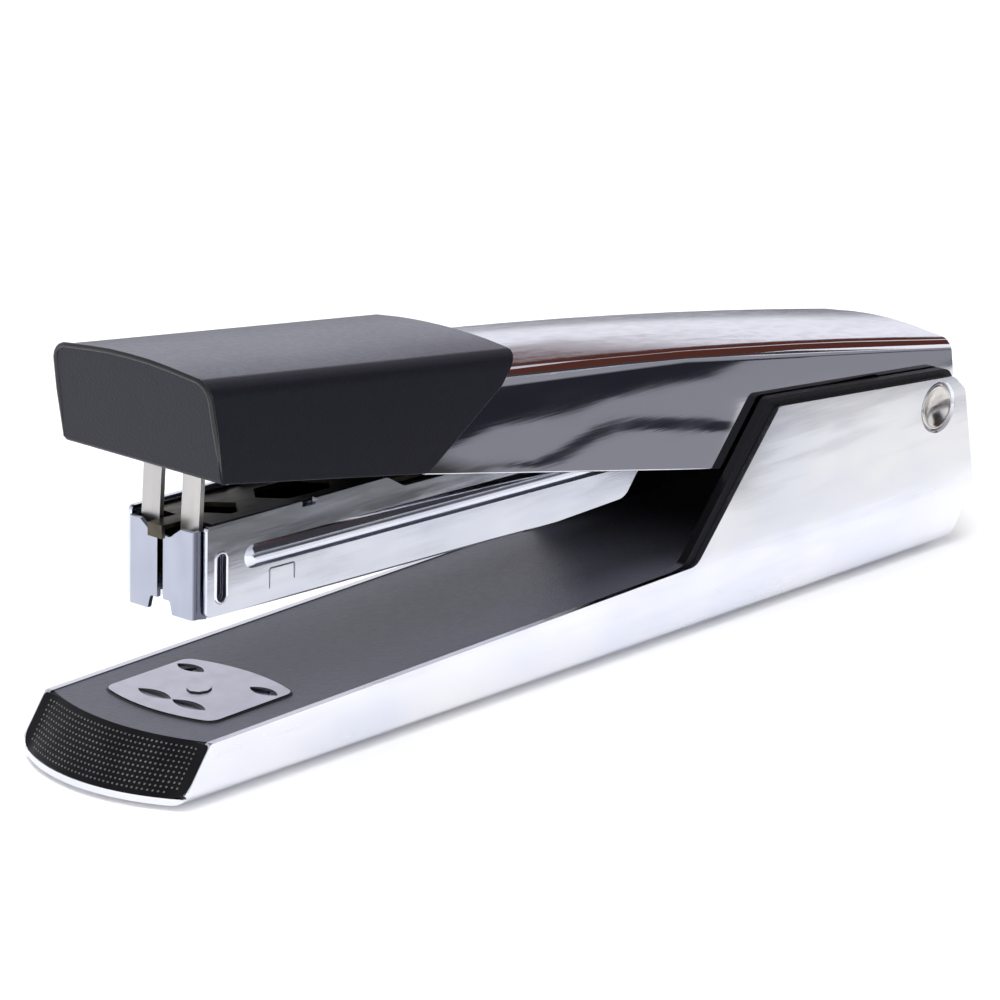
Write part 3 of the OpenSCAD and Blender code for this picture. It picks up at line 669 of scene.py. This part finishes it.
def anvil_gap_shade(half_x=10.25, half_y=11.3, bow=32.8, rise=0.04, radius=0.2):
    """A dark ring round the anvil plate, at the deck, as painted shade in the gap round the plate: bowed
    front and back, with cut corners.
    """
    corner = [(8.2, 10.75), (7.5, 11.2), (6.6, half_y)]
    front = [(half_x - y * y / (2 * bow), y) for y in (-9.6, -8, -6, -4, -2, 0, 2, 4, 6, 8, 9.6)]
    upper = corner + [(0, half_y)] + [(-x, y) for x, y in reversed(corner)]
    outline = front + upper + [(-x, -y) for x, y in front + upper]
    ring = [in_tilt(deck_origin, -DECK_SLOPE, x * MM, y * MM, rise * MM) for x, y in outline]
    tube("anvil_gap_shade", ring, radius * MM, MATERIALS["carrier_black"], "base", closed=True, sides=6)


cap_bead()
magazine_sides()
nose_face()
grip_dots()
anvil_gap_shade()


# ---- stage, lights and camera ----------------------------------------------------------

def only_reflected(made):
    """Leaves a board to reflections alone."""
    made.visible_camera = False
    made.visible_diffuse = False
    made.visible_shadow = False
    made.visible_transmission = False


def emission(name):
    """A board's node tree, and the socket for its brightness."""
    board = bpy.data.materials.new(name)
    board.use_nodes = True
    tree = Tree(board.node_tree)
    output = tree.nodes.new("ShaderNodeOutputMaterial")
    glow = tree.nodes.new("ShaderNodeEmission")
    tree.links.new(glow.outputs["Emission"], output.inputs["Surface"])
    return board, tree, glow


def card(name, centre, towards, width, height, colour):
    """A plain board that only reflections see."""
    w = width / 2
    h = height / 2
    made = piece(name, [(-w, -h, 0), (w, -h, 0), (w, h, 0), (-w, h, 0)], [(0, 1, 2, 3)])
    turn = (towards - centre).to_track_quat("Z", "Y").to_matrix().to_4x4()
    made.matrix_world = Matrix.Translation(centre) @ turn
    board, tree, glow = emission(name)
    glow.inputs["Color"].default_value = (*colour, 1)
    made.data.materials.append(board)
    only_reflected(made)


def floor_board(side):
    """Dark strips laid on the floor beside the part, which its polished sides mirror.

    They start far enough out that the low base still mirrors white floor, and the higher handle
    and magazine mirror the strips. In the handle they show as a grey field with a narrow dark
    wave across it, a dark band above, and a lighter line at the top, as a room's edges do.
    """
    front = -25 * MM                # the board starts behind the nose and lies just over the floor
    near = 40 * MM
    far = 1200 * MM
    rise = 0.3 * MM
    made = piece(f"floor_board_{'left' if side > 0 else 'right'}",
                 [(front, side * near, rise), (far, side * near, rise),
                  (far, side * far, rise), (front, side * far, rise)], [(0, 1, 2, 3)])
    board, tree, glow = emission(made.name)
    x = tree.along("X")
    ripple = tree.math("MULTIPLY", tree.math("SUBTRACT", tree.noise(12, (1, 0.3, 1), 1), 0.5), 2 * MM)
    out = tree.math("ABSOLUTE", tree.along("Y"), 0)
    rippled = tree.math("ADD", out, ripple)

    def levels(source, unit, stops):
        """Levels in a unit, from stops that are placed in millimetres."""
        return tree.levels(source, *[(place * MM, level * unit) for place, level in stops])

    def beyond(curve, soft):
        """From 0 to 1 across a curve, which is given by its distance out at places along X."""
        line = levels(x, 1 * MM, curve)
        return tree.fit(tree.math("SUBTRACT", rippled, line), -soft * MM, soft * MM)

    # where white floor ends: nearer beside the magazine, then along the ear's mirrored outline
    rising = tree.math("ADD", tree.math("MULTIPLY", x, 0.69), 1.5 * MM)
    falling = tree.math("SUBTRACT", 118 * MM, tree.math("MULTIPLY", x, 0.25))
    beside_ear = tree.math("MINIMUM", rising, falling)
    edge = tree.blend(tree.fit(x, 72 * MM, 80 * MM), 73 * MM, beside_ear)
    past_edge = tree.fit(tree.math("SUBTRACT", out, edge), 0, 3 * MM)

    # grey and dark strips, which the magazine's side mirrors
    by_magazine = levels(rippled, 1, [(68, 0.42), (75, 0.2), (79, 0.08), (84, 0.07), (87, 0.3), (91, 0.3),
                                      (95, 0.04), (115, 0.04), (160, 0.35), (1000, 0.35)])

    # what the handle's side mirrors, from its lower edge up
    by_handle = (0.27, 0.27, 0.3)
    wave_start = beyond([(65, 94), (70, 88), (75, 87), (89, 92), (95, 93), (99, 90), (107, 81),
                         (115, 76)], 0.6)
    by_handle = tree.mix(wave_start, by_handle, (0.02, 0.02, 0.028))
    wave_end = beyond([(65, 96), (72, 91), (78, 92), (94, 98), (99, 98), (104, 96), (112, 87),
                       (115, 80)], 0.6)
    by_handle = tree.mix(wave_end, by_handle, (0.26, 0.26, 0.29))
    band_start = beyond([(62, 106), (73, 108), (83, 111), (101, 107), (111, 109), (134, 106), (150, 110.5),
                         (169, 113), (185, 125)], 0.7)
    by_handle = tree.mix(band_start, by_handle, (0.018, 0.018, 0.025))
    band_end = tree.fit(out, 130 * MM, 180 * MM)
    by_handle = tree.mix(band_end, by_handle, (0.28, 0.28, 0.31))

    strips = tree.mix(tree.fit(x, 58 * MM, 66 * MM), by_magazine, by_handle)
    tree.links.new(tree.mix(past_edge, (1.0, 1.0, 1.0), strips), glow.inputs["Color"])
    made.data.materials.append(board)
    only_reflected(made)


def area_light(name, place, target, size, power):
    """A soft light that doesn't show in reflections."""
    data = bpy.data.lights.new(name, "AREA")
    data.shape = "SQUARE"
    data.size = size
    data.energy = power
    made = bpy.data.objects.new(name, data)
    turn = (place - target).to_track_quat("Z", "Y").to_matrix().to_4x4()
    made.matrix_world = Matrix.Translation(place) @ turn
    made.visible_glossy = False
    bpy.context.scene.collection.objects.link(made)


def direction(azimuth, elevation):
    """A unit vector; azimuth turns from +X towards +Y, in degrees."""
    a = math.radians(azimuth)
    e = math.radians(elevation)
    return Vector((math.cos(a) * math.cos(e), math.sin(a) * math.cos(e), math.sin(e)))


def white_floor(reach=6.0):
    """A plain pale floor, with a faint mottle."""
    floor = piece("floor", [(-reach, -reach, 0), (reach, -reach, 0), (reach, reach, 0), (-reach, reach, 0)],
                  [(0, 1, 2, 3)])
    paint = Recipe("floor_white", (0.93, 0.93, 0.93), 0.0, 0.9, Specular_IOR_Level=0.1,
                   Emission_Color=(1, 1, 1, 1), Emission_Strength=0.08)
    paint.colour(paint.mix(paint.noise(400), (0.93, 0.93, 0.93), (0.95, 0.95, 0.95)))
    floor.data.materials.append(paint.material)


def room():
    """The room's light: bright near the horizon and dimmer overhead."""
    world = bpy.data.worlds.new("studio")
    world.use_nodes = True
    sky = Tree(world.node_tree, "Generated")
    output = sky.nodes.new("ShaderNodeOutputWorld")
    light = sky.nodes.new("ShaderNodeBackground")
    sky.links.new(light.outputs["Background"], output.inputs["Surface"])
    light.inputs["Color"].default_value = (0.95, 0.95, 1.0, 1)
    sky.links.new(sky.levels(sky.along("Z"), (-1, 1), (0.25, 1), (0.5, 0.7), (0.8, 0.45), (1, 0.4)),
                  light.inputs["Strength"])
    bpy.context.scene.world = world
    bpy.context.scene.view_settings.view_transform = "Standard"


def boards(middle):
    """The boards that only reflections see."""
    for side in (-1, 1):
        floor_board(side)
    # a warm dark board high on either side, mirrored by the handle's near arris
    for side, label in ((-1, "right"), (1, "left")):
        card(f"warm_board_{label}", direction(22 * side, 28) * 0.6, middle, 0.36, 0.25, (0.09, 0.028, 0.02))
    # a neutral dark one beside it, which darkens the upper half of the magazine's rib
    card("side_board", direction(-52, 21) * 0.62, middle, 0.42, 0.38, (0.05, 0.05, 0.055))


def photo_camera(distance=0.83845):
    """The camera, at the photo's angle."""
    data = bpy.data.cameras.new("camera")
    data.lens = 198
    data.sensor_width = 36
    camera = bpy.data.objects.new("camera", data)
    aim = Vector((-3.25, 0, 23.96)) * MM
    away = Vector((-0.6954, -0.6547, 0.2962)).normalized()
    turn = away.to_track_quat("Z", "Y").to_matrix().to_4x4()
    camera.matrix_world = Matrix.Translation(aim + away * distance) @ turn
    bpy.context.scene.collection.objects.link(camera)
    bpy.context.scene.camera = camera


centre = Vector((0, 0, 30)) * MM
white_floor()
room()
area_light("top_soft", Vector((-0.1, 0, 1.0)), centre, 0.8, 8.0)
area_light("front_soft", Vector((-0.8, -0.6, 0.6)), centre, 0.6, 3.0)
boards(centre)
photo_camera()
